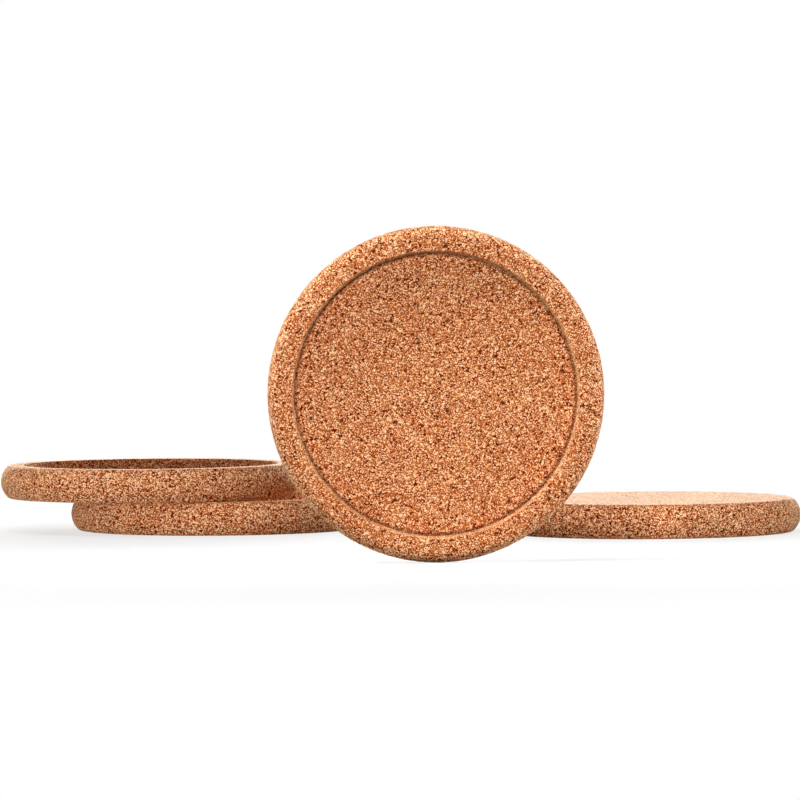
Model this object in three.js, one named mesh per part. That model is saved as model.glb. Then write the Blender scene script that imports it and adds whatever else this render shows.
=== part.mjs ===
// Round coasters turned from agglomerated cork, set out as a small table group:
// one lies on another, one lies face down and one stands on its edge.
// Millimetres, +Z up, seen from -Y. The origin is on the table, in the middle of the group.
import * as THREE from 'three';

// Sizes of one coaster
const COASTER_DIAMETER = 100;
const COASTER_THICKNESS = 11;
const SIDE_CROWN = 2.6; // how far the side bulges out past its two corners
const CORNER_ROUNDING = 1.8; // where the crowned side turns onto a flat face
const RIM_WIDTH = 7.45; // from the top of the recess wall to the widest line of the side
const RECESS_DEPTH = 4;
const LIP_ROUNDING = 0.25; // inner edge of the rim
const WALL_TAPER = 0.6; // how far the recess wall leans in from its top to its foot
const GROOVE_WIDTH = 0.6; // line that the cutter leaves round the foot of the wall
const GROOVE_DEPTH = 0.5;

// Places of the coasters on the table
const UPPER_SHIFT_LEFT = 23.2; // the upper coaster lies off the middle of the lower one
const UPPER_SHIFT_FORWARD = 3.5;
const ROW_GAP = 41.5; // clear width between the lower and the face-down coaster
const FACE_DOWN_FORWARD = 40; // how far the face-down one lies in front of the lower one
const STANDING_GAP = 109; // clear depth between the face-down one and the standing one
const STANDING_OFF_MIDDLE = 0.4; // right of the middle between the lower and the face-down one

// Facets
const TURN_STEPS = 64;
const SIDE_STEPS = 6;
const ROUNDING_STEPS = 3;
const GROOVE_STEPS = 4;

// Cork
const CORK_COLOUR = 0xc47e53;
const CORK_ROUGHNESS = 0.9;

const coasterRadius = COASTER_DIAMETER / 2;
const halfThickness = COASTER_THICKNESS / 2;
const recessRadius = coasterRadius - RIM_WIDTH;
const recessFloor = COASTER_THICKNESS - RECESS_DEPTH;
const quarterTurn = Math.PI / 2;
const halfTurn = Math.PI;

// Points along an arc of the profile, where x is the radius and y the height.
function arcPoints(centreX, centreY, width, height, startAngle, endAngle, steps) {
  const clockwise = endAngle < startAngle;
  const arc = new THREE.EllipseCurve(centreX, centreY, width, height, startAngle, endAngle, clockwise);
  return arc.getPoints(steps);
}

// A small rounding of the profile.
function roundingPoints(centreX, centreY, radius, startAngle, endAngle) {
  return arcPoints(centreX, centreY, radius, radius, startAngle, endAngle, ROUNDING_STEPS);
}

// The long arc of the crowned side.
function crownPoints(centreX, radius, halfAngle) {
  return arcPoints(centreX, halfThickness, radius, radius, -halfAngle, halfAngle, SIDE_STEPS);
}

// Half section of the turned coaster: out along the base, up the crowned side, in over the rim,
// down the leaning recess wall, through the groove at its foot and along the recess floor to the axis.
function coasterProfile() {
  const crownRadius = (halfThickness ** 2 + SIDE_CROWN ** 2) / (2 * SIDE_CROWN);
  const crownCentre = coasterRadius - crownRadius;

  // The corner roundings touch the crowned side from inside, and the flat faces.
  const cornerRise = halfThickness - CORNER_ROUNDING;
  const cornerReach = Math.sqrt((crownRadius - CORNER_ROUNDING) ** 2 - cornerRise ** 2);
  const cornerCentre = crownCentre + cornerReach;
  const crownAngle = Math.atan2(cornerRise, cornerReach);
  const rimCornerHeight = COASTER_THICKNESS - CORNER_ROUNDING;

  const lipCentre = recessRadius + LIP_ROUNDING;
  const lipHeight = COASTER_THICKNESS - LIP_ROUNDING;
  const halfGroove = GROOVE_WIDTH / 2;
  const grooveCentre = recessRadius - WALL_TAPER - halfGroove;

  const base = roundingPoints(cornerCentre, CORNER_ROUNDING, CORNER_ROUNDING, -quarterTurn, -crownAngle);
  const side = crownPoints(crownCentre, crownRadius, crownAngle);
  const rim = roundingPoints(cornerCentre, rimCornerHeight, CORNER_ROUNDING, crownAngle, quarterTurn);
  const lip = roundingPoints(lipCentre, lipHeight, LIP_ROUNDING, quarterTurn, halfTurn);
  const groove = arcPoints(grooveCentre, recessFloor, halfGroove, GROOVE_DEPTH, 0, -halfTurn, GROOVE_STEPS);

  // The side shares its first and last point with the two corners.
  const innerSide = side.slice(1, -1);
  const baseMiddle = new THREE.Vector2(0, 0);
  const floorMiddle = new THREE.Vector2(0, recessFloor);
  return [baseMiddle, ...base, ...innerSide, ...rim, ...lip, ...groove, floorMiddle];
}

// One coaster lying face up, with the middle of its base at the mesh's origin.
function makeCoaster(name) {
  const shape = new THREE.LatheGeometry(coasterProfile(), TURN_STEPS);
  shape.rotateX(quarterTurn);
  const cork = new THREE.MeshStandardMaterial({
    color: CORK_COLOUR,
    roughness: CORK_ROUGHNESS,
    metalness: 0,
  });
  const coaster = new THREE.Mesh(shape, cork);
  coaster.name = name;
  return coaster;
}

const lowerCoaster = makeCoaster('lower_coaster');

const upperCoaster = makeCoaster('upper_coaster');
upperCoaster.position.set(-UPPER_SHIFT_LEFT, -UPPER_SHIFT_FORWARD, COASTER_THICKNESS);

const faceDownCoaster = makeCoaster('face_down_coaster');
const faceDownX = COASTER_DIAMETER + ROW_GAP;
faceDownCoaster.rotation.x = halfTurn;
faceDownCoaster.position.set(faceDownX, -FACE_DOWN_FORWARD, COASTER_THICKNESS);

const standingCoaster = makeCoaster('standing_coaster');
const standingX = faceDownX / 2 + STANDING_OFF_MIDDLE;
const standingBackY = -FACE_DOWN_FORWARD - coasterRadius - STANDING_GAP;
standingCoaster.rotation.x = quarterTurn;
standingCoaster.position.set(standingX, standingBackY, coasterRadius);

const coasterSet = new THREE.Group();
coasterSet.add(lowerCoaster, upperCoaster, faceDownCoaster, standingCoaster);

// Bring the middle of the footprint to the origin.
const bounds = new THREE.Box3().setFromObject(coasterSet);
const middle = bounds.getCenter(new THREE.Vector3());
coasterSet.position.set(-middle.x, -middle.y, -bounds.min.z);

export default coasterSet;
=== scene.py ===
# %% [markdown]
# # Round cork coasters on a table
# Four coasters alike, turned from fine agglomerated cork: one lies on another, one lies face down and
# one stands on its edge. The solid model of the four is loaded first, as a frame. Every size and place
# below comes from that frame or is named in metres, and each dressed coaster takes the place of its
# solid.

# %% The frame
import math
import bpy
import numpy as np
from mathutils import Matrix, Vector


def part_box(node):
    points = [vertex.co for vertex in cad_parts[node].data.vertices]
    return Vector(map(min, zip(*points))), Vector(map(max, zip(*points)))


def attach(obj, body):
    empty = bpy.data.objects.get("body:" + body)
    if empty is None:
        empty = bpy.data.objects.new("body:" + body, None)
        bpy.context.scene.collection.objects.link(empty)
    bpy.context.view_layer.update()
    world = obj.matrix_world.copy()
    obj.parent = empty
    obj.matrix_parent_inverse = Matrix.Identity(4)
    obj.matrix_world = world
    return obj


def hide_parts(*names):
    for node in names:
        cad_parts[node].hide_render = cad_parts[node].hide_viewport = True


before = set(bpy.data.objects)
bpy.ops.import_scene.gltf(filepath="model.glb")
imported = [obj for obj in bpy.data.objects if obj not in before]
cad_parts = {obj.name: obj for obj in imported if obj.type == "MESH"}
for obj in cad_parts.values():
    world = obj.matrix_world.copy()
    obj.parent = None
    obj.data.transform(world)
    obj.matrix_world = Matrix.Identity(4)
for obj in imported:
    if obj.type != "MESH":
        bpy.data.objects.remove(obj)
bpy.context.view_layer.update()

# %% [markdown]
# ## Camera
# The photograph was taken from just above the table with a long lens, so the lying coasters show as
# thin discs and the standing one as an almost true circle. The lens could be guessed and the camera
# pushed about by eye. Here it is written as a focal length in pixels, with a place, a pitch and a small
# roll, because these are what a fit of the outlines gives.

# %% Camera
PHOTO_PIXELS = 800
SENSOR_WIDTH = 36.0
FOCAL_PIXELS = 5286
CAMERA_PLACE = Vector((0.00135, -1.6923, 0.0927))
CAMERA_PITCH_DOWN = math.radians(1.619)
CAMERA_ROLL = math.radians(-0.434)

camera_data = bpy.data.cameras.new("photo_camera")
camera_data.sensor_width = SENSOR_WIDTH
camera_data.lens = FOCAL_PIXELS / PHOTO_PIXELS * SENSOR_WIDTH
camera = bpy.data.objects.new("photo_camera", camera_data)
bpy.context.scene.collection.objects.link(camera)
level_view = Matrix.Rotation(math.pi / 2 - CAMERA_PITCH_DOWN, 4, "X")
camera.matrix_world = Matrix.Translation(CAMERA_PLACE) @ level_view @ Matrix.Rotation(CAMERA_ROLL, 4, "Z")
bpy.context.scene.camera = camera
print("camera: lens", round(camera_data.lens, 1), "mm")

# %% [markdown]
# ## Half section of a coaster
# A turned piece is known by its half section: out along the base, up a side that bulges like a barrel,
# in over the rim, down the recess wall, through the fine groove that the cutter leaves at its foot, and
# back along the recess floor to the axis. It could be drawn with Bezier handles, but arcs worked out
# from the real sizes keep the corners true. So the section is a poly curve whose x is the radius and
# whose z is the height, with its points close together where it bends.

# %% Half section
SIDE_CROWN = 0.0026
CORNER_ROUNDING = 0.0018
RIM_WIDTH = 0.00745
RECESS_DEPTH = 0.004
LIP_ROUNDING = 0.00025
WALL_TAPER = 0.0006
GROOVE_WIDTH = 0.0006
GROOVE_DEPTH = 0.0005
ROUNDING_STEPS = 5
SIDE_STEPS = 24
POINT_SPACING = 0.0006

low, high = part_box("lower_coaster")
coaster_radius = (high.x - low.x) / 2
coaster_thickness = high.z - low.z
recess_radius = coaster_radius - RIM_WIDTH
recess_floor = coaster_thickness - RECESS_DEPTH
groove_middle = recess_radius - WALL_TAPER - GROOVE_WIDTH / 2


def arc(centre, radii, start, end, steps):
    angles = [start + (end - start) * step / steps for step in range(steps + 1)]
    (x, z), (wide, tall) = centre, radii
    return [Vector((x + wide * math.cos(angle), z + tall * math.sin(angle))) for angle in angles]


def filled_in(corners):
    points = corners[:1]
    for start, end in zip(corners, corners[1:]):
        parts = max(1, round((end - start).length / POINT_SPACING))
        points += [start.lerp(end, part / parts) for part in range(1, parts + 1)]
    return points


def half_section():
    half = coaster_thickness / 2
    quarter = math.pi / 2
    crown_radius = (half ** 2 + SIDE_CROWN ** 2) / (2 * SIDE_CROWN)
    crown_centre = coaster_radius - crown_radius
    rise = half - CORNER_ROUNDING
    reach = math.sqrt((crown_radius - CORNER_ROUNDING) ** 2 - rise ** 2)
    tilt = math.atan2(rise, reach)
    corner = crown_centre + reach
    corner_radii = (CORNER_ROUNDING, CORNER_ROUNDING)
    lip_radii = (LIP_ROUNDING, LIP_ROUNDING)
    groove_radii = (GROOVE_WIDTH / 2, GROOVE_DEPTH)
    top = coaster_thickness
    base_corner = arc((corner, CORNER_ROUNDING), corner_radii, -quarter, -tilt, ROUNDING_STEPS)
    side = arc((crown_centre, half), (crown_radius, crown_radius), -tilt, tilt, SIDE_STEPS)
    rim_corner = arc((corner, top - CORNER_ROUNDING), corner_radii, tilt, quarter, ROUNDING_STEPS)
    lip_centre = (recess_radius + LIP_ROUNDING, top - LIP_ROUNDING)
    lip = arc(lip_centre, lip_radii, quarter, math.pi, ROUNDING_STEPS)
    groove = arc((groove_middle, recess_floor), groove_radii, 0, -math.pi, 2 * ROUNDING_STEPS)
    outline = base_corner + side[1:-1] + rim_corner + lip + groove
    return filled_in([Vector((0, 0))] + outline + [Vector((0, recess_floor))])


section_points = half_section()
section_data = bpy.data.curves.new("half_section", "CURVE")
section_data.dimensions = "3D"
spline = section_data.splines.new("POLY")
spline.points.add(len(section_points) - 1)
for point, (radius, height) in zip(spline.points, section_points):
    point.co = (radius, 0, height, 1)
section = bpy.data.objects.new("half_section", section_data)
bpy.context.scene.collection.objects.link(section)
print("half section:", len(section_points), "points")

# %% [markdown]
# ## Node helpers
# Both the shapes and the finish are node trees. Four small helpers keep them readable: one adds a node
# and fills its inputs, with a value or a link, one adds a maths node, one starts a geometry tree with
# named inputs, and one puts such a tree on a piece and sets those inputs by their identifiers.

# %% Node helpers
def put(tree, kind, fills=None, **settings):
    node = tree.nodes.new(kind)
    for name, value in settings.items():
        setattr(node, name, value)
    for key, value in (fills or {}).items():
        if isinstance(value, bpy.types.NodeSocket):
            tree.links.new(value, node.inputs[key])
        else:
            node.inputs[key].default_value = value
    return node


def calc(tree, operation, first, second=0.0):
    return put(tree, "ShaderNodeMath", {0: first, 1: second}, operation=operation).outputs[0]


def geometry_tree(name, inputs):
    tree = bpy.data.node_groups.new(name, "GeometryNodeTree")
    tree.interface.new_socket("Geometry", in_out="OUTPUT", socket_type="NodeSocketGeometry")
    for label, socket_type in inputs.items():
        tree.interface.new_socket(label, in_out="INPUT", socket_type="NodeSocket" + socket_type)
    given = tree.nodes.new("NodeGroupInput")
    return tree, given.outputs


def add_node_modifier(piece, tree, values):
    modifier = piece.modifiers.new(tree.name, "NODES")
    modifier.node_group = tree
    inputs = [item for item in tree.interface.items_tree if item.in_out == "INPUT"]
    identifiers = {item.name: item.identifier for item in inputs}
    for label, value in values.items():
        modifier[identifiers[label]] = value
    return modifier


helpers = (put, calc, geometry_tree, add_node_modifier)
print("node helpers:", [helper.__name__ for helper in helpers])

# %% [markdown]
# ## Turning the blank
# On the real coaster a cutter follows the section while the cork spins. A Screw modifier or bmesh spin
# would do the same. Geometry Nodes say it most plainly: a flat grid has one row for each point of the
# section and one column for each step round, Sample Index gives the point, and Vector Rotate swings it
# round the axis. Near the middle the columns would crowd, so they are snapped together in pairs, fours
# and so on, and merged. The finish has to know where it is on the coaster, so the tree also stores a
# place across the faces, a place unrolled round the side and a mark round the groove, where the finish
# paints shade. Last, it turns the blank over or up on edge and puts it in its place.

# %% Lathe tree
STEPS_ROUND = 544
FULL_STEPS_RADIUS = 0.034
MOST_HALVINGS = 5.0
MERGE_GAP = 1e-6
GROOVE_SHADE_FULL_REACH = 0.4 * GROOVE_WIDTH
GROOVE_SHADE_END_REACH = 0.9 * GROOVE_WIDTH


def lathe_tree():
    tree, given = geometry_tree("turn_on_lathe", {
        "Half Section": "Object", "Section Points": "Int", "Steps Round": "Int",
        "Full Steps Radius": "Float", "Turn Over": "Float", "Place": "Vector", "Grain Start": "Vector"})
    columns = calc(tree, "ADD", given["Steps Round"], 1.0)
    grid = put(tree, "GeometryNodeMeshGrid", {
        "Size X": 1.0, "Size Y": 1.0, "Vertices X": given["Section Points"], "Vertices Y": columns})
    spot = put(tree, "ShaderNodeSeparateXYZ", {0: put(tree, "GeometryNodeInputPosition").outputs[0]})
    last_point = calc(tree, "SUBTRACT", given["Section Points"], 1.0)
    along = calc(tree, "ADD", spot.outputs["X"], 0.5)
    across = calc(tree, "ADD", spot.outputs["Y"], 0.5)
    row = calc(tree, "ROUND", calc(tree, "MULTIPLY", along, last_point))
    step = calc(tree, "ROUND", calc(tree, "MULTIPLY", across, given["Steps Round"]))

    drawn = put(tree, "GeometryNodeObjectInfo", {"Object": given["Half Section"]})
    sample = put(tree, "GeometryNodeSampleIndex", {
        "Geometry": drawn.outputs["Geometry"], "Index": row}, data_type="FLOAT_VECTOR", domain="POINT")
    tree.links.new(put(tree, "GeometryNodeInputPosition").outputs[0], sample.inputs["Value"])
    section_spot = put(tree, "ShaderNodeSeparateXYZ", {0: sample.outputs["Value"]})
    radius = section_spot.outputs["X"]
    height = section_spot.outputs["Z"]
    shrink = calc(tree, "DIVIDE", given["Full Steps Radius"], calc(tree, "MAXIMUM", radius, MERGE_GAP))
    halvings = calc(tree, "FLOOR", calc(tree, "LOGARITHM", shrink, 2.0))
    halvings = calc(tree, "MINIMUM", calc(tree, "MAXIMUM", halvings, 0.0), MOST_HALVINGS)
    stride = calc(tree, "POWER", 2.0, halvings)
    snapped = calc(tree, "MULTIPLY", calc(tree, "FLOOR", calc(tree, "DIVIDE", step, stride)), stride)
    angle = calc(tree, "DIVIDE", calc(tree, "MULTIPLY", snapped, math.tau), given["Steps Round"])
    swung = put(tree, "ShaderNodeVectorRotate", {
        "Vector": sample.outputs["Value"], "Angle": angle}, rotation_type="Z_AXIS")

    turn = calc(tree, "DIVIDE", calc(tree, "MULTIPLY", step, math.tau), given["Steps Round"])
    round_side = put(tree, "ShaderNodeCombineXYZ", {
        "X": calc(tree, "MULTIPLY", turn, coaster_radius), "Y": height}).outputs[0]
    # Mark round the groove at the foot of the recess wall, where the finish paints shade.
    groove_shade_mask = put(tree, "ShaderNodeMapRange", {
        "Value": calc(tree, "ABSOLUTE", calc(tree, "SUBTRACT", radius, groove_middle)),
        "From Min": GROOVE_SHADE_FULL_REACH, "From Max": GROOVE_SHADE_END_REACH, "To Min": 1.0, "To Max": 0.0})
    near_floor = put(tree, "ShaderNodeMath", {
        0: height, 1: recess_floor, 2: GROOVE_WIDTH}, operation="COMPARE")
    groove = calc(tree, "MULTIPLY", groove_shade_mask.outputs[0], near_floor.outputs[0])
    mesh = grid.outputs["Mesh"]
    for name, value in (("face_place", swung.outputs[0]), ("side_place", round_side)):
        started = put(tree, "ShaderNodeVectorMath", {0: value, 1: given["Grain Start"]}, operation="ADD")
        mesh = put(tree, "GeometryNodeStoreNamedAttribute", {
            "Geometry": mesh, "Name": name, "Value": started.outputs[0]},
            data_type="FLOAT_VECTOR", domain="CORNER").outputs[0]
    mesh = put(tree, "GeometryNodeStoreNamedAttribute", {
        "Geometry": mesh, "Name": "groove", "Value": groove}, data_type="FLOAT", domain="POINT").outputs[0]

    turned = put(tree, "GeometryNodeSetPosition", {"Geometry": mesh, "Position": swung.outputs[0]})
    closed = put(tree, "GeometryNodeMergeByDistance", {
        "Geometry": turned.outputs[0], "Distance": MERGE_GAP})
    outward = put(tree, "GeometryNodeFlipFaces", {"Mesh": closed.outputs[0]})
    tilt = put(tree, "ShaderNodeCombineXYZ", {"X": given["Turn Over"]})
    placed = put(tree, "GeometryNodeTransform", {
        "Geometry": outward.outputs[0], "Translation": given["Place"], "Rotation": tilt.outputs[0]})
    put(tree, "NodeGroupOutput", {0: placed.outputs[0]})
    return tree


lathe = lathe_tree()
print("lathe tree:", len(lathe.nodes), "nodes")

# %% [markdown]
# ## Grain of the cork
# Agglomerated cork is granules of a millimetre or less pressed together. Sanded faces are nearly flat,
# turned sides are rougher, and here and there a granule has come out and left a pit. A displacement
# texture could raise all of it alike. The tree instead cuts every granule to its own level, gently on
# the sanded faces and more on the turned side, scatters pits over the surface, and only ever goes
# inwards, so that coasters that touch still touch. It also stores how flat a face is, for the finish,
# and how deep a pit is, for the shade that the finish paints into the pits.

# %% Grain tree
RELIEF_SIZE = 0.0011
PIT_OUTLINE_SIZE = 0.0007
PIT_OUTLINE_SHIFT = 0.0009
FACING_SHARPNESS = 4.0


def grain_tree():
    tree, given = geometry_tree("cork_grain", {
        "Geometry": "Geometry", "Axis": "Vector", "Granule Size": "Float", "Turned Relief": "Float",
        "Sanded Relief": "Float", "Pits per Area": "Float", "Pit Radius": "Float", "Pit Depth": "Float",
        "Marked Pits": "Object", "Seed": "Int", "Cork": "Material"})
    spot = put(tree, "GeometryNodeInputPosition").outputs[0]
    normal = put(tree, "GeometryNodeInputNormal").outputs[0]
    per_granule = calc(tree, "DIVIDE", 1.0, given["Granule Size"])
    granules = put(tree, "ShaderNodeTexVoronoi", {"Vector": spot, "Scale": per_granule})
    level = put(tree, "ShaderNodeSeparateXYZ", {0: granules.outputs["Color"]}).outputs["X"]
    facing = put(tree, "ShaderNodeVectorMath", {0: normal, 1: given["Axis"]}, operation="DOT_PRODUCT")
    sanded = calc(tree, "POWER", calc(tree, "ABSOLUTE", facing.outputs["Value"]), FACING_SHARPNESS)
    relief = put(tree, "ShaderNodeMapRange", {
        "Value": sanded, "To Min": given["Turned Relief"], "To Max": given["Sanded Relief"]}).outputs[0]
    granule_depth = calc(tree, "MULTIPLY", level, relief)

    scattered = put(tree, "GeometryNodeDistributePointsOnFaces", {
        "Mesh": given["Geometry"], "Density": given["Pits per Area"], "Seed": given["Seed"]})
    marked = put(tree, "GeometryNodeObjectInfo", {"Object": given["Marked Pits"]})
    pits = put(tree, "GeometryNodeJoinGeometry", {0: scattered.outputs["Points"]})
    tree.links.new(marked.outputs["Geometry"], pits.inputs[0])
    ragged = put(tree, "ShaderNodeTexNoise", {"Vector": spot, "Scale": 1 / PIT_OUTLINE_SIZE, "Detail": 1.0})
    centred = put(tree, "ShaderNodeVectorMath", {
        0: ragged.outputs["Color"], 1: (0.5, 0.5, 0.5)}, operation="SUBTRACT")
    shift = put(tree, "ShaderNodeVectorMath", {
        0: centred.outputs[0], "Scale": PIT_OUTLINE_SHIFT}, operation="SCALE")
    ragged_spot = put(tree, "ShaderNodeVectorMath", {0: spot, 1: shift.outputs[0]}, operation="ADD")
    nearest = put(tree, "GeometryNodeProximity", {
        0: pits.outputs[0], "Sample Position": ragged_spot.outputs[0]}, target_element="POINTS")
    pit = put(tree, "ShaderNodeMapRange", {
        "Value": nearest.outputs["Distance"], "From Min": 0.0, "From Max": given["Pit Radius"],
        "To Min": 1.0, "To Max": 0.0}, interpolation_type="SMOOTHSTEP").outputs[0]
    pit_depth = calc(tree, "MULTIPLY", pit, given["Pit Depth"])

    inward = calc(tree, "MULTIPLY", calc(tree, "ADD", granule_depth, pit_depth), -1.0)
    push = put(tree, "ShaderNodeVectorMath", {0: normal, "Scale": inward}, operation="SCALE")
    told = put(tree, "GeometryNodeStoreNamedAttribute", {
        "Geometry": given["Geometry"], "Name": "sanded", "Value": sanded},
        data_type="FLOAT", domain="POINT")
    # The pit share is stored so that the finish can paint shade into the pits.
    noted = put(tree, "GeometryNodeStoreNamedAttribute", {
        "Geometry": told.outputs[0], "Name": "pit", "Value": pit}, data_type="FLOAT", domain="POINT")
    cut = put(tree, "GeometryNodeSetPosition", {"Geometry": noted.outputs[0], "Offset": push.outputs[0]})
    smooth = put(tree, "GeometryNodeSetShadeSmooth", {"Geometry": cut.outputs[0]})
    real = put(tree, "GeometryNodeRealizeInstances", {"Geometry": smooth.outputs[0]})
    dressed = put(tree, "GeometryNodeSetMaterial", {
        "Geometry": real.outputs[0], "Material": given["Cork"]})
    put(tree, "NodeGroupOutput", {0: dressed.outputs[0]})
    return tree


grain = grain_tree()
print("grain tree:", len(grain.nodes), "nodes")

# %% [markdown]
# ## Cork finish
# Seen close, cork is a crowd of granules: most orange-brown, some pale tan, a few almost black where
# bark is left in. A photograph of cork would be the quick way, and a solid texture would run through
# the piece, but that cuts the granules at odd depths and looks blotchy. So the pattern is laid along
# the surface, on the stored places. Two layers of Voronoi cells, turned against each other so that no
# weave shows, give each granule a pale or a dark heart, and a few become flecks far from the middle
# tone. The turned sides have more contrast than the sanded faces, and shade is painted into the groove
# and the pits as a darker colour. Sizes are in metres, turns in radians, and tones run from 0, the
# darkest, to 1. Sheen gives the pale bloom of dry cork seen at a slant.

# %% Cork finish
GRANULE_TONES = (
    (0.00, (0.100, 0.007, 0.000)),
    (0.25, (0.325, 0.056, 0.005)),
    (0.50, (0.575, 0.165, 0.045)),
    (0.75, (0.880, 0.345, 0.143)),
    (1.00, (1.000, 0.670, 0.385)),
)
MIDDLE_TONE = 0.445
GRANULE_SIZE = 0.00058
FINE_SIZE = 0.00042
FINE_SHARE = 0.75
GRANULE_REACH = 0.65
EDGE_TONE = -0.40
DARKEST_HEART = -0.40
PALEST_HEART = 1.30
FLECK_TONE = 0.85
FLECK_RARITY = 7.0
GRANULE_TURN = 0.5
FINE_TURN = 1.1
TURNED_CONTRAST = 1.5
TURNED_TONE = 0.415
FLAT_FACING = 0.25
# Painted shade: the groove at the foot of the recess wall is darkened towards this colour.
GROOVE_SHADE_COLOUR = (0.090, 0.012, 0.001, 1.0)
GROOVE_SHADE_SHARE = 0.45
# Painted shade: the pits are darkened towards this colour.
PIT_SHADE_COLOUR = (0.090, 0.014, 0.002, 1.0)
PIT_SHADE_SHARE = 1.6
WARP_SCALE = 1400.0
OUTLINE_WARP = 0.0003
CORK_ROUGHNESS = 0.68
BUMP_HEIGHT = 0.00008
BUMP_STRENGTH = 0.5
SPECULAR_LEVEL = 0.04
SHEEN_WEIGHT = 0.18
SHEEN_ROUGHNESS = 0.25
SHEEN_TINT = (1.0, 1.0, 0.3, 1.0)


def blend_colour(tree, share, first, second):
    # A Mix node has a set of sockets for each kind of data, and 6, 7 and 2 are those for colour.
    return put(tree, "ShaderNodeMix", {0: share, 6: first, 7: second}, data_type="RGBA").outputs[2]


def blend_vector(tree, share, first, second):
    # In the same node 4, 5 and 1 are the sockets for vectors.
    return put(tree, "ShaderNodeMix", {0: share, 4: first, 5: second}, data_type="VECTOR").outputs[1]


def tone_ramp(tree, share, tones):
    ramp = put(tree, "ShaderNodeValToRGB", {0: share})
    points = ramp.color_ramp.elements
    while len(points) < len(tones):
        points.new(0.5)
    for point, (place, colour) in zip(points, tones):
        point.position = place
        point.color = (*colour, 1.0)
    return ramp.outputs["Color"]


def stored(tree, name, output):
    return put(tree, "ShaderNodeAttribute", attribute_name=name).outputs[output]


def granule_tones(tree, place, size, turn):
    turned = put(tree, "ShaderNodeVectorRotate", {"Vector": place, "Angle": turn}, rotation_type="Z_AXIS")
    cells = put(tree, "ShaderNodeTexVoronoi", {
        "Vector": turned.outputs[0], "Scale": 1 / size}, voronoi_dimensions="2D")
    chances = put(tree, "ShaderNodeSeparateColor", {0: cells.outputs["Color"]})
    profile = put(tree, "ShaderNodeMapRange", {
        "Value": cells.outputs["Distance"], "From Max": GRANULE_REACH, "To Min": 1.0,
        "To Max": EDGE_TONE}).outputs[0]
    heart = put(tree, "ShaderNodeMapRange", {
        "Value": chances.outputs[0], "To Min": DARKEST_HEART, "To Max": PALEST_HEART}).outputs[0]
    chance = put(tree, "ShaderNodeMapRange", {
        "Value": chances.outputs[1], "To Min": -1.0, "To Max": 1.0}).outputs[0]
    own_tone = calc(tree, "MULTIPLY", calc(tree, "POWER", chance, FLECK_RARITY), FLECK_TONE)
    return calc(tree, "ADD", calc(tree, "MULTIPLY", profile, heart), own_tone)


def cork_finish():
    material = bpy.data.materials.new("cork")
    material.use_nodes = True
    tree = material.node_tree
    shader = tree.nodes["Principled BSDF"]
    spot = put(tree, "ShaderNodeTexCoord").outputs["Object"]
    ragged = put(tree, "ShaderNodeTexNoise", {"Vector": spot, "Scale": WARP_SCALE, "Detail": 1.0})
    centred = put(tree, "ShaderNodeVectorMath", {
        0: ragged.outputs["Color"], 1: (0.5, 0.5, 0.5)}, operation="SUBTRACT")
    shift = put(tree, "ShaderNodeVectorMath", {
        0: centred.outputs[0], "Scale": OUTLINE_WARP}, operation="SCALE")
    sanded = stored(tree, "sanded", "Fac")
    on_face = calc(tree, "GREATER_THAN", sanded, FLAT_FACING)
    side_place = stored(tree, "side_place", "Vector")
    place = blend_vector(tree, on_face, side_place, stored(tree, "face_place", "Vector"))
    warped = put(tree, "ShaderNodeVectorMath", {0: place, 1: shift.outputs[0]}, operation="ADD").outputs[0]

    coarse = granule_tones(tree, warped, GRANULE_SIZE, GRANULE_TURN)
    fine = calc(tree, "MULTIPLY", granule_tones(tree, warped, FINE_SIZE, FINE_TURN), FINE_SHARE)
    both = calc(tree, "ADD", coarse, fine)
    contrast = put(tree, "ShaderNodeMapRange", {
        "Value": sanded, "To Min": TURNED_CONTRAST, "To Max": 1.0}).outputs[0]
    middle = put(tree, "ShaderNodeMapRange", {
        "Value": sanded, "To Min": TURNED_TONE, "To Max": MIDDLE_TONE}).outputs[0]
    paleness = calc(tree, "ADD", calc(tree, "MULTIPLY", both, contrast), middle)
    colour = tone_ramp(tree, paleness, GRANULE_TONES)
    # Painted shade in the groove at the foot of the recess wall.
    groove = calc(tree, "MULTIPLY", stored(tree, "groove", "Fac"), GROOVE_SHADE_SHARE)
    groove_shaded = blend_colour(tree, groove, colour, GROOVE_SHADE_COLOUR)
    # Painted shade in the pits.
    pit = calc(tree, "MINIMUM", calc(tree, "MULTIPLY", stored(tree, "pit", "Fac"), PIT_SHADE_SHARE), 1.0)
    pit_shaded = blend_colour(tree, pit, groove_shaded, PIT_SHADE_COLOUR)
    tree.links.new(pit_shaded, shader.inputs["Base Color"])

    bump = put(tree, "ShaderNodeBump", {
        "Height": paleness, "Distance": BUMP_HEIGHT, "Strength": BUMP_STRENGTH})
    tree.links.new(bump.outputs[0], shader.inputs["Normal"])
    shader.inputs["Roughness"].default_value = CORK_ROUGHNESS
    shader.inputs["Specular IOR Level"].default_value = SPECULAR_LEVEL
    shader.inputs["Sheen Weight"].default_value = SHEEN_WEIGHT
    shader.inputs["Sheen Roughness"].default_value = SHEEN_ROUGHNESS
    shader.inputs["Sheen Tint"].default_value = SHEEN_TINT
    return material


cork = cork_finish()
print("cork finish:", len(cork.node_tree.nodes), "nodes")
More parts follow.
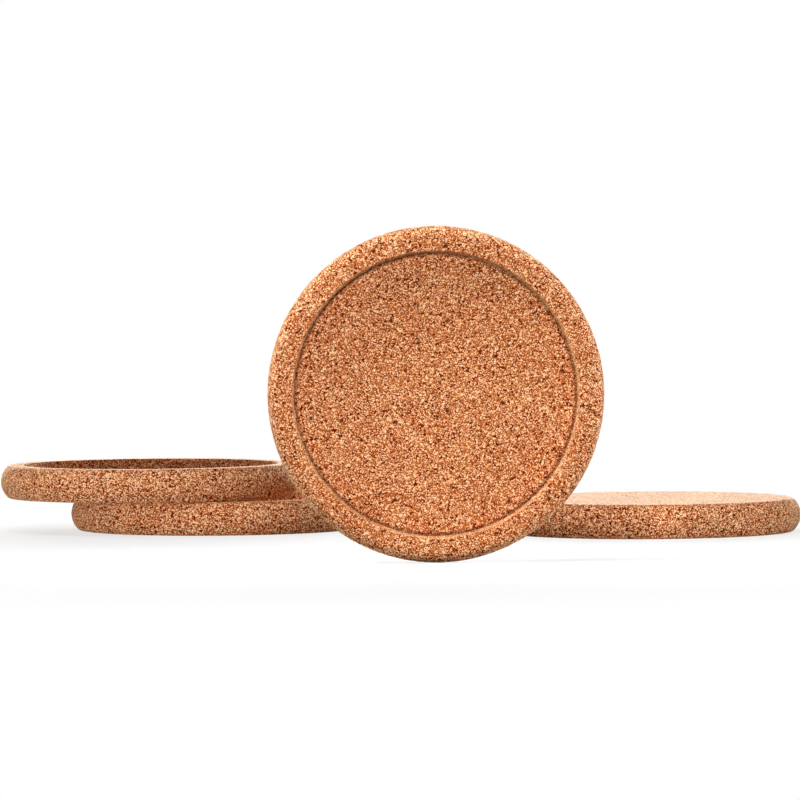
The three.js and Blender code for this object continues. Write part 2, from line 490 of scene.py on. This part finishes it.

# %% [markdown]
# ## Four coasters
# Each coaster is an empty mesh that gets the lathe tree and then the grain tree. Four copies of one
# mesh would be lighter, but then all four would have the same grains, so each is cut in its own place,
# where the grain differs. A few larger pits that show on the standing coaster are listed. The result is
# kept as a plain mesh, with its place in the mesh, and rides on the body that its solid belongs to.

# %% Coasters
HALF_TURN = math.pi
QUARTER_TURN = math.pi / 2
FACE_UP = {"turn": 0.0, "axis": (0, 0, 1)}
FACE_DOWN = {"turn": HALF_TURN, "axis": (0, 0, 1)}
ON_EDGE = {"turn": QUARTER_TURN, "axis": (0, 1, 0)}
COASTERS = (
    ("lower_coaster", "lower", FACE_UP),
    ("upper_coaster", "upper", FACE_UP),
    ("face_down_coaster", "face_down", FACE_DOWN),
    ("standing_coaster", "standing", ON_EDGE),
)
GRAIN_SHIFT = 0.2
TURNED_RELIEF = 0.00010
SANDED_RELIEF = 0.000015
PITS_PER_AREA = 2500.0
PIT_RADIUS = 0.0009
PIT_DEPTH = 0.0005
CUBIC_CM_PER_CUBIC_M = 1e6
MARKED_PITS = (
    (-0.0345, -0.0217), (-0.0221, -0.0135), (-0.0124, -0.0311), (0.0214, -0.0352), (0.0288, -0.0317))


def base_middle(node, pose):
    low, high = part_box(node)
    middle = (low + high) / 2
    if pose is FACE_UP:
        return Vector((middle.x, middle.y, low.z))
    if pose is FACE_DOWN:
        return Vector((middle.x, middle.y, high.z))
    return Vector((middle.x, high.y, middle.z))


def marked_pits():
    low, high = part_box("standing_coaster")
    middle = (low + high) / 2
    floor_y = low.y + RECESS_DEPTH
    places = [(middle.x + right, floor_y, middle.z + up) for right, up in MARKED_PITS]
    mesh = bpy.data.meshes.new("marked_pits")
    mesh.from_pydata(places, [], [])
    marks = bpy.data.objects.new("marked_pits", mesh)
    bpy.context.scene.collection.objects.link(marks)
    return marks


def plain_mesh(piece):
    bpy.context.view_layer.update()
    evaluated = piece.evaluated_get(bpy.context.evaluated_depsgraph_get())
    mesh = bpy.data.meshes.new_from_object(evaluated)
    piece.modifiers.clear()
    piece.data = mesh


def enclosed_volume(mesh):
    mesh.calc_loop_triangles()
    places = np.empty((len(mesh.vertices), 3), dtype=np.float32)
    mesh.vertices.foreach_get("co", places.ravel())
    triangles = np.empty((len(mesh.loop_triangles), 3), dtype=np.int32)
    mesh.loop_triangles.foreach_get("vertices", triangles.ravel())
    first, second, third = (places[triangles[:, corner]].astype(float) for corner in range(3))
    # Each triangle and the origin span a tetrahedron, a sixth of the box on its three edges.
    return np.einsum("ij,ij->", first, np.cross(second, third)) / 6


pit_marks = marked_pits()
for number, (node, body, pose) in enumerate(COASTERS):
    coaster = bpy.data.objects.new("cork_" + node, bpy.data.meshes.new("cork_" + node))
    bpy.context.scene.collection.objects.link(coaster)
    add_node_modifier(coaster, lathe, {
        "Half Section": section, "Section Points": len(section_points), "Steps Round": STEPS_ROUND,
        "Full Steps Radius": FULL_STEPS_RADIUS, "Turn Over": pose["turn"],
        "Place": base_middle(node, pose), "Grain Start": (number * GRAIN_SHIFT, number * GRAIN_SHIFT, 0.0)})
    add_node_modifier(coaster, grain, {
        "Axis": pose["axis"], "Granule Size": RELIEF_SIZE,
        "Turned Relief": TURNED_RELIEF, "Sanded Relief": SANDED_RELIEF,
        "Pits per Area": PITS_PER_AREA, "Pit Radius": PIT_RADIUS, "Pit Depth": PIT_DEPTH,
        "Marked Pits": pit_marks if pose is ON_EDGE else None, "Seed": number, "Cork": cork})
    plain_mesh(coaster)
    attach(coaster, body)
    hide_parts(node)
    volume = enclosed_volume(coaster.data) * CUBIC_CM_PER_CUBIC_M
    print(coaster.name, len(coaster.data.loop_triangles), "triangles", round(volume, 2), "cubic cm")

for helper in (section, pit_marks):
    bpy.data.objects.remove(helper)

# %% [markdown]
# ## Table
# A white table runs on into a white background. The camera and reflections see it white, by Light Path,
# while the light that it throws back on the cork is that of a plain pale table. Close to the coasters
# part of the table's own shading is left in, so each of them keeps a soft shadow.

# %% Table
TABLE_SIZE = 12.0
TABLE_COLOUR = (0.35, 0.35, 0.35, 1.0)
SHADOW_PAPER = (0.95, 0.95, 0.95, 1.0)
NEAR_WHITE_SHARE = 0.70
SHADOW_REACH = 0.18
WHITE_REACH = 0.34


def rays_that_see(tree):
    path = put(tree, "ShaderNodeLightPath")
    seen = calc(tree, "MAXIMUM", path.outputs["Is Camera Ray"], path.outputs["Is Glossy Ray"])
    return calc(tree, "MAXIMUM", seen, path.outputs["Is Transmission Ray"])


def table_finish():
    material = bpy.data.materials.new("white_table")
    material.use_nodes = True
    tree = material.node_tree
    tree.nodes.clear()
    spot = put(tree, "ShaderNodeTexCoord").outputs["Object"]
    reach = put(tree, "ShaderNodeVectorMath", {0: spot}, operation="LENGTH").outputs["Value"]
    share = put(tree, "ShaderNodeMapRange", {
        "Value": reach, "From Min": SHADOW_REACH, "From Max": WHITE_REACH, "To Min": NEAR_WHITE_SHARE,
        "To Max": 1.0}, interpolation_type="SMOOTHSTEP").outputs[0]
    paper = put(tree, "ShaderNodeBsdfDiffuse", {"Color": SHADOW_PAPER})
    white = put(tree, "ShaderNodeEmission", {"Strength": 1.0})
    seen_paper = put(tree, "ShaderNodeMixShader", {0: share, 1: paper.outputs[0], 2: white.outputs[0]})
    table_top = put(tree, "ShaderNodeBsdfDiffuse", {"Color": TABLE_COLOUR})
    mixed = put(tree, "ShaderNodeMixShader", {
        0: rays_that_see(tree), 1: table_top.outputs[0], 2: seen_paper.outputs[0]})
    put(tree, "ShaderNodeOutputMaterial", {0: mixed.outputs[0]})
    return material


table_mesh = bpy.data.meshes.new("table")
half_table = TABLE_SIZE / 2
table_mesh.from_pydata(
    [(-half_table, -half_table, 0), (half_table, -half_table, 0),
     (half_table, half_table, 0), (-half_table, half_table, 0)], [], [(0, 1, 2, 3)])
table_mesh.materials.append(table_finish())
table = bpy.data.objects.new("table", table_mesh)
bpy.context.scene.collection.objects.link(table)
print("table:", TABLE_SIZE, "m")

# %% [markdown]
# ## Studio light
# The photograph was taken against a bright backdrop, which lights the tops and the far edges, with the
# help of a long soft box behind. Another soft box hangs above. The standing coaster has a narrow lamp
# in front, and a soft box with a grid at each side picks out its edges and recess walls. Two low lamps
# light the sides of the lying coasters but not the far wall of the upper recess. One big lamp would be
# simpler, but then neither the recess nor the edges would read. The lamps are hidden from the camera,
# so that no other view shows one.

# %% Light
BACKDROP_LIGHT = 0.7
BACKDROP_START = -0.1
BACKDROP_FULL = 0.5
OPEN_SPREAD = math.pi
GRID_SPREAD = 0.28
SPOT_RADIUS = 0.01
STANDING_FACE = (0.012, -0.130, 0.050)
STANDING_EDGES = (0.012, -0.140, 0.055)
GROUP_MIDDLE = (0.0, 0.0, 0.03)


def light_world():
    world = bpy.data.worlds.new("studio")
    world.use_nodes = True
    tree = world.node_tree
    tree.nodes.clear()
    direction = put(tree, "ShaderNodeTexCoord").outputs["Generated"]
    behind = put(tree, "ShaderNodeSeparateXYZ", {0: direction}).outputs["Y"]
    strength = put(tree, "ShaderNodeMapRange", {
        "Value": behind, "From Min": BACKDROP_START, "From Max": BACKDROP_FULL, "To Min": 0.0,
        "To Max": BACKDROP_LIGHT}, interpolation_type="SMOOTHSTEP").outputs[0]
    backdrop = put(tree, "ShaderNodeBackground", {"Color": (1, 1, 1, 1), "Strength": strength})
    white = put(tree, "ShaderNodeBackground", {"Color": (1, 1, 1, 1), "Strength": 1.0})
    mixed = put(tree, "ShaderNodeMixShader", {
        0: rays_that_see(tree), 1: backdrop.outputs[0], 2: white.outputs[0]})
    put(tree, "ShaderNodeOutputWorld", {0: mixed.outputs[0]})
    bpy.context.scene.world = world


def add_soft_box(name, place, aim, width, height, power, spread=OPEN_SPREAD):
    lamp = bpy.data.lights.new(name, "AREA")
    lamp.shape = "RECTANGLE"
    lamp.size = width
    lamp.size_y = height
    lamp.energy = power
    lamp.spread = spread
    box = bpy.data.objects.new(name, lamp)
    box.location = place
    box.rotation_euler = (Vector(aim) - Vector(place)).to_track_quat("-Z", "Y").to_euler()
    box.visible_camera = False
    bpy.context.scene.collection.objects.link(box)


def add_spot(name, place, aim, beam_radius, power, blend):
    way = Vector(aim) - Vector(place)
    lamp = bpy.data.lights.new(name, "SPOT")
    lamp.spot_size = 2.0 * math.atan2(beam_radius, way.length)
    lamp.spot_blend = blend
    lamp.shadow_soft_size = SPOT_RADIUS
    lamp.energy = power
    spot = bpy.data.objects.new(name, lamp)
    spot.location = place
    spot.rotation_euler = way.to_track_quat("-Z", "Y").to_euler()
    spot.visible_camera = False
    bpy.context.scene.collection.objects.link(spot)


light_world()
add_spot(
    "front_spot", (-0.15, -1.20, 0.30), STANDING_FACE, beam_radius=0.053, power=32.0, blend=0.1)
add_soft_box(
    "front_box", (-0.08, -0.38, 0.88), (0.0, -0.03, 0.03), width=0.50, height=0.30, power=3.2)
add_soft_box(
    "left_grid", (-0.60, -0.24, 0.60), STANDING_EDGES,
    width=0.14, height=0.14, power=0.088, spread=GRID_SPREAD)
add_soft_box(
    "right_grid", (0.80, -0.18, 0.25), STANDING_EDGES,
    width=0.20, height=0.20, power=0.110, spread=GRID_SPREAD)
add_spot(
    "left_low_spot", (-0.50, -0.80, 0.014), (-0.125, 0.03, 0.011),
    beam_radius=0.090, power=24.0, blend=0.35)
add_spot(
    "right_low_spot", (0.55, -0.80, 0.012), (0.125, -0.005, 0.006),
    beam_radius=0.090, power=18.0, blend=0.35)
add_soft_box(
    "back_box", (0.0, 0.90, 0.25), GROUP_MIDDLE, width=1.00, height=0.30, power=15.0)
bpy.context.scene.view_settings.view_transform = "Standard"
print("lights:", [item.name for item in bpy.data.lights])
